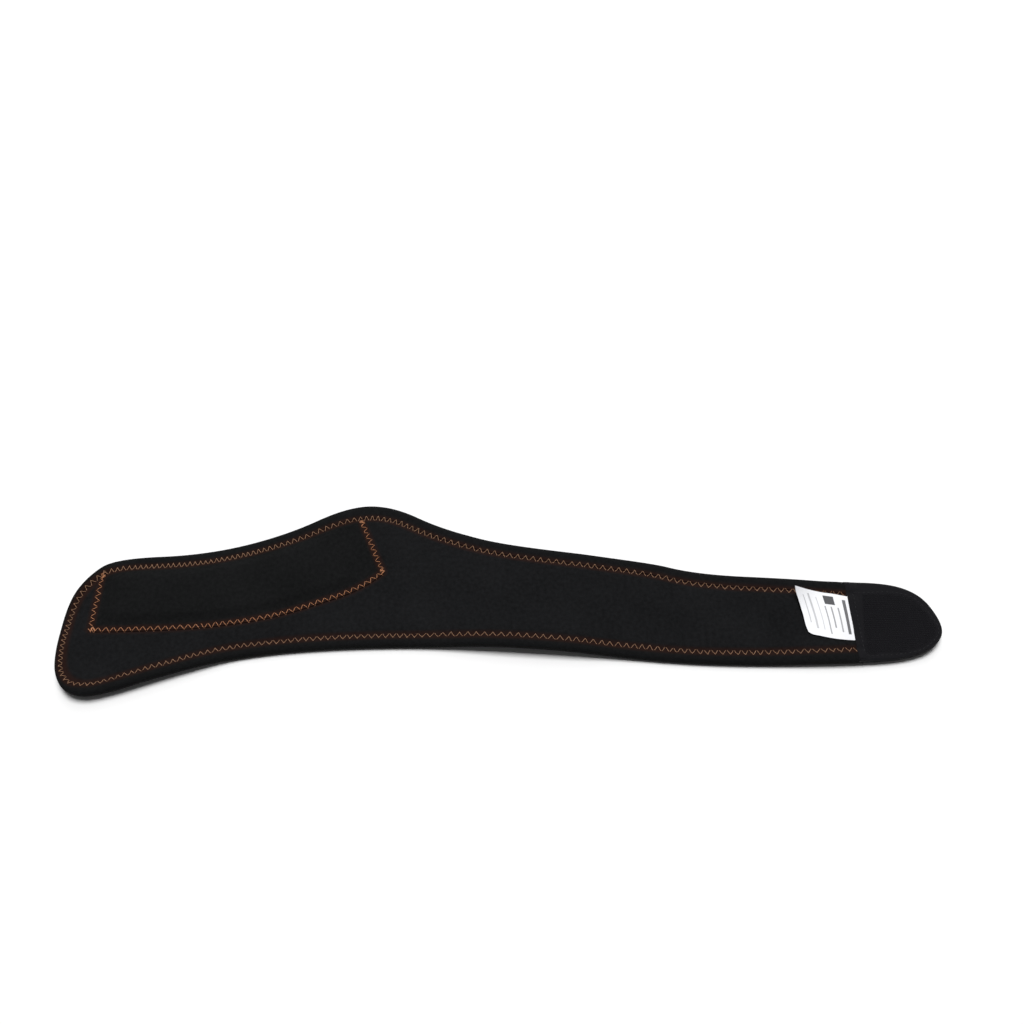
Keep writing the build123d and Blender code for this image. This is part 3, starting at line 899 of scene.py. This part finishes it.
# the near side is sewn in two goes, and back-tacks run to and fro at each corner
restart = int(np.argmin(np.abs(nearLine[:, 0] - zigzag["pocketRestart"])))
pocketSides = [np.array([farLeft, nearLeft]), nearLine[:restart + 2], nearLine[restart:],
               np.array([nearRight, farRight])]
pocketLegs = []
for line in pocketSides:
    pocketLegs += zigzagLegs(line, zigzag["lineStep"], *zigzag["pocket"])
tacks = [(farLeft, (0.3, -1.0)), (nearLeft, (1.0, 0.3)), (nearRight, rightUp), (farRight, -rightUp)]
for corner, way in tacks:
    way = unit(np.array(way))
    for order in (1, -1):
        end = corner + way * (zigzag["tackOn"] + wobble(uneven["tack"]))
        line = np.array([corner - way * zigzag["tackBack"], end])[::order]
        pocketLegs += zigzagLegs(line, 0.5, *zigzag["tack"])

sewOn(borderLegs, "border_thread", "edge_stitch", strips)
sewOn(pocketLegs, "pocket_thread", "pocket_stitch", strips[:3], fresh=1.0)
print("zigzag threads")

tab = {
    "low": 0.8, "backing": 1.8, "tape": 1.0, "step": 0.15, "gap": 0.02,
    "overlap": 1.4, "slope": 7.0, "slopeFrom": 0.6,  # the tape lies on the wrap, then slopes to the backing
    "rim": 1.1, "rimLost": 0.75, "tapeInset": 0.25, "tapeRim": 0.7, "tapeLost": 0.6,
    "turnDown": 0.35, "turnWidth": 1.5,
    "groove": 0.16, "grooveWidth": 0.7, "seamStitch": 2.2, "stitch": 2.2, "stitchPitch": 2.7,
    # from the edge in to the line of stitches, at some X, and from there to the hooks
    "farStitch": [(199, 8.0), (214, 7.0), (228, 5.0), (240, 3.4)],
    "nearStitch": [(199, 3.9), (218, 3.4), (235, 2.2)],
    "border": 1.3,
    "seamBorder": 5.4, "seamBorderLean": 0.134,  # the hooks start further in at the far side
    "nearY": -45, "middleY": -18, "farY": 15,
}


def tabStitchInset(xy):
    return farAndNear(xy, tab["farStitch"], tab["nearStitch"])


def tabPlan(inset, overlap, lean=0.0):  # the outline beyond the tab seam
    def limitAt(xy):
        return wrap["seamX"] - overlap + lean * (xy[:, 1] - tab["middleY"])
    loop = between(insetLoop(inset), wrap["seamX"] - 6, tabEndX)
    loop[:, 0] = np.maximum(loop[:, 0], limitAt(loop))
    loop = apart(loop)
    ends = np.flatnonzero(loop[:, 0] <= limitAt(loop) + 0.05)
    far, near = cornersOf(loop[ends])
    rest = np.delete(loop, ends, axis=0)
    start = int(np.argmin(np.linalg.norm(rest - far, axis=1)))
    return np.vstack([np.roll(rest, -start, 0), evenly(np.array([near, far]), 1.0)])


def tapeLow(xy):
    onWrap = wrapTop(xy, 0.25) * pressed(xy) + tab["step"]
    share = smooth((xy[:, 0] - wrap["seamX"] - tab["slopeFrom"]) / tab["slope"])
    return onWrap + (tab["low"] + tab["backing"] + tab["gap"] - onWrap) * share


def rounding(edge, radius):  # how much of a radius is lost near an edge
    share = np.clip(edge / radius, 0, 1)
    return radius * (1 - np.sqrt(1 - (1 - share) ** 2))


def stitchGroove(xy):
    line = np.abs(edgeOf(xy) - tabStitchInset(xy))
    seam = np.abs(xy[:, 0] - wrap["seamX"] - tab["seamStitch"])
    return tab["groove"] * np.exp(-(np.minimum(line, seam) / tab["grooveWidth"]) ** 2)


rimRings = np.concatenate([insetLoop(inset)
                           for inset in (0.06, 0.2, 0.45, 0.8, 1.2, 1.8, 2.5, 3.0, 3.5, 4.3)])


def tabPiece(piece, finish, node):
    dress(piece, finish)
    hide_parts(node)
    bend(piece, tabStrip)


def tabBacking():
    def lift(xy):
        lost = tab["rimLost"] * rounding(edgeOf(xy), tab["rim"])
        return raised(xy, tab["low"] + tab["backing"] - lost * 0.5), raised(xy, tab["low"] + lost)
    loop = tabPlan(0.0, -1.0)
    return sheetFrom("tab_backing_cloth", loop, np.vstack([rimRings, fillPoints(loop, 2.8)]), lift)


def hookTape():
    def lift(xy):
        edge = np.maximum(edgeOf(xy) - tab["tapeInset"], 0)
        end = xy[:, 0] - wrap["seamX"] + tab["overlap"]
        lost = tab["tapeLost"] * rounding(np.minimum(edge, end), tab["tapeRim"])
        low = tapeLow(xy) - tab["turnDown"] * (1 - smooth(edge / tab["turnWidth"]))
        return raised(xy, low + tab["tape"] - lost - stitchGroove(xy)), raised(xy, low)
    loop = tabPlan(tab["tapeInset"], tab["overlap"])
    return sheetFrom("hook_tape", loop, np.vstack([rimRings, fillPoints(loop, 1.6)]), lift)


hooks = {
    "columnPitch": 0.95, "rowPitch": 1.2, "astray": 0.1, "wire": 0.13, "sides": 5, "steps": 7,
    # a stem that bends over through an angle, its tip dropping at the end
    "height": 0.78, "bend": 0.187, "angle": 3.4, "crown": 1.75,
    "drop": 0.16, "dropFrom": 1.9, "dropBand": 1.4, "root": 0.08, "lean": 0.12, "swing": 4,
}


def hookField():
    # rows of small bent hooks, each leaning a little its own way
    loop = tabPlan(tabStitchInset(outline) + tab["border"], -tab["seamBorder"], tab["seamBorderLean"])
    xs = np.arange(wrap["seamX"], tabEndX, hooks["columnPitch"])
    ys = np.arange(tab["nearY"], tab["farY"], hooks["rowPitch"])
    places = np.array([(x + 0.5 * hooks["columnPitch"] * (row % 2), y)
                       for row, y in enumerate(ys) for x in xs])
    places = places[inside(loop, places)]
    places = places + np.array([(wobble(hooks["astray"]), wobble(hooks["astray"])) for _ in places])
    angle = np.linspace(0, 1, hooks["steps"]) * hooks["angle"]
    bent = hooks["bend"] * (1 - np.cos(angle))
    stem = hooks["height"] * np.sin(np.minimum(angle, hooks["crown"]))
    stem -= hooks["drop"] * smooth((angle - hooks["dropFrom"]) / hooks["dropBand"])
    tubes = []
    for place in raised(places, tapeLow(places) + tab["tape"] - stitchGroove(places)):
        lean, facing = wobble(hooks["lean"]), (1 if chance.random() < 0.5 else -1)
        swing, reach = lean * hooks["swing"], bent * facing
        line = place + np.stack([reach * math.cos(swing), reach * math.sin(swing) + lean * stem,
                                 stem - hooks["root"]], axis=1)
        way = unit(np.gradient(line, axis=0))
        side = unit(np.cross(way, (0.0, 1.0, 0.05)))
        tubes.append(ringsRound(line, side, np.cross(side, way), hooks["wire"], hooks["sides"]))
    return tubeRuns("hook_rows", tubes)


tabPiece(tabBacking(), pile, "tab_backing")
tabPiece(hookTape(), tape, "hook_base")
tabPiece(hookField(), hookNylon, "hook_field")


def tapeTop(xy):
    return tapeLow(xy) + tab["tape"] - stitchGroove(xy) * 1.4


tabStitch = {**zigzag, "rise": 0.05, "ply": 0.12, "plyOffset": 0.1}
borderStitch = evenly(insetLoop(tabStitchInset(outline)), 0.5)
beyond = borderStitch[:, 0] > wrap["seamX"] + tab["seamStitch"]
firstBeyond = int(np.flatnonzero(beyond & ~np.roll(beyond, 1))[0])
borderStitch = np.roll(borderStitch, -firstBeyond, 0)[:int(beyond.sum())]
tabLegs = []
for line in (borderStitch, borderStitch[[0, -1]]):
    run = runAlong(line)
    for at in np.arange(0.4, run[-1] - tab["stitch"], tab["stitchPitch"]):
        tabLegs.append([(*valueAt(line, run, end), 1.0) for end in (at, at + tab["stitch"])])
sewOn(tabLegs, "tab_thread", "tab_stitch", [tabStrip], blackThread, tapeTop, tabStitch)
print("hook tab")


def careLabel():
    # a patch hung between its four edges, then doubled for the cloth's thickness
    count = label["steps"]
    far = through([label["seamFar"], *label["farEdge"], label["farCorner"]], count)
    near = through([label["seamNear"], *label["nearEdge"][::-1], label["nearCorner"]], count)
    seam = through([label["seamFar"], label["seamNear"]], count)
    free = through([label["farCorner"], *label["freeEdge"], label["nearCorner"]], count)
    u, v = np.meshgrid(np.linspace(0, 1, count), np.linspace(0, 1, count), indexing="ij")
    a, b = u[..., None], v[..., None]
    patch = ((1 - b) * far[:, None] + b * near[:, None] + (1 - a) * seam[None] + a * free[None]
             - (1 - a) * ((1 - b) * far[0] + b * near[0]) - a * ((1 - b) * far[-1] + b * near[-1]))
    patch[..., 2] += label["bulge"] * np.sin(math.pi * u) * np.sin(math.pi * v)
    across = unit(np.cross(np.gradient(patch, axis=0), np.gradient(patch, axis=1)))
    across *= np.sign(across[..., 2:3].mean())
    place = np.arange(count * count).reshape(count, count)
    faces = np.stack([place[:-1, :-1], place[1:, :-1], place[1:, 1:], place[:-1, 1:]], -1).reshape(-1, 4)
    rim = np.concatenate([place[:, 0], place[-1, 1:], place[-2::-1, -1], place[0, -2:0:-1]])
    long, wide = label["size"]
    coords = np.stack([label["sewnIn"] + u.ravel() * (long - label["sewnIn"]), v.ravel() * wide], axis=1)
    piece = closedSheet("satin_label", patch.reshape(-1, 3), (patch - across * label["cloth"]).reshape(-1, 3),
                        faces, zip(rim, np.roll(rim, -1)), coords, 60)
    dress(piece, satin)
    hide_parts("care_label")
    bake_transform(piece)


careLabel()
print("care label")

studio = {  # places and sizes in metres
    "floorHalf": 4.0, "floorColour": (0.88, 0.88, 0.88), "sky": 0.09,
    # softboxes: place, size and power
    "lamps": {"key": ((0.0, 0.55, 3.0), 1.45, 92.0), "back": ((0.0, 2.5, 2.7), 3.4, 54.0)},
    "camera": (0.0063, -0.2713, 0.5516), "tilt": 31.0, "sensor": 36.0, "lens": 36.9,
}


def floor():
    half = studio["floorHalf"] / mm
    corners = np.array([(-1, -1, 0), (1, -1, 0), (1, 1, 0), (-1, 1, 0)])
    piece = meshFrom("floor", corners * half, [[0, 1, 2, 3]], corners[:, :2], 50)
    paper = Finish("floor_paper", 0.9, 0.0)
    paper.put("Base Color", shade(*studio["floorColour"]))
    piece.data.materials.append(paper.material)


def placed(data, place, tilt):
    holder = bpy.data.objects.new(data.name, data)
    holder.location, holder.rotation_euler = place, (tilt, 0, 0)
    bpy.context.scene.collection.objects.link(holder)
    return holder


def lightAndCamera():
    scene = bpy.context.scene
    scene.world = bpy.data.worlds.new("studio")
    scene.world.use_nodes = True
    sky = scene.world.node_tree.nodes["Background"].inputs
    sky["Color"].default_value, sky["Strength"].default_value = shade(1, 1, 1), studio["sky"]
    for name, (place, size, power) in studio["lamps"].items():
        lamp = bpy.data.lights.new(name, "AREA")
        lamp.shape, lamp.size, lamp.energy = "SQUARE", size, power
        placed(lamp, place, -math.atan2(place[1], place[2]))
    seen = bpy.data.cameras.new("camera")
    seen.sensor_width, seen.lens = studio["sensor"], studio["lens"]
    scene.camera = placed(seen, studio["camera"], math.radians(studio["tilt"]))
    scene.view_settings.view_transform = "Standard"


floor()
lightAndCamera()
print("stage")
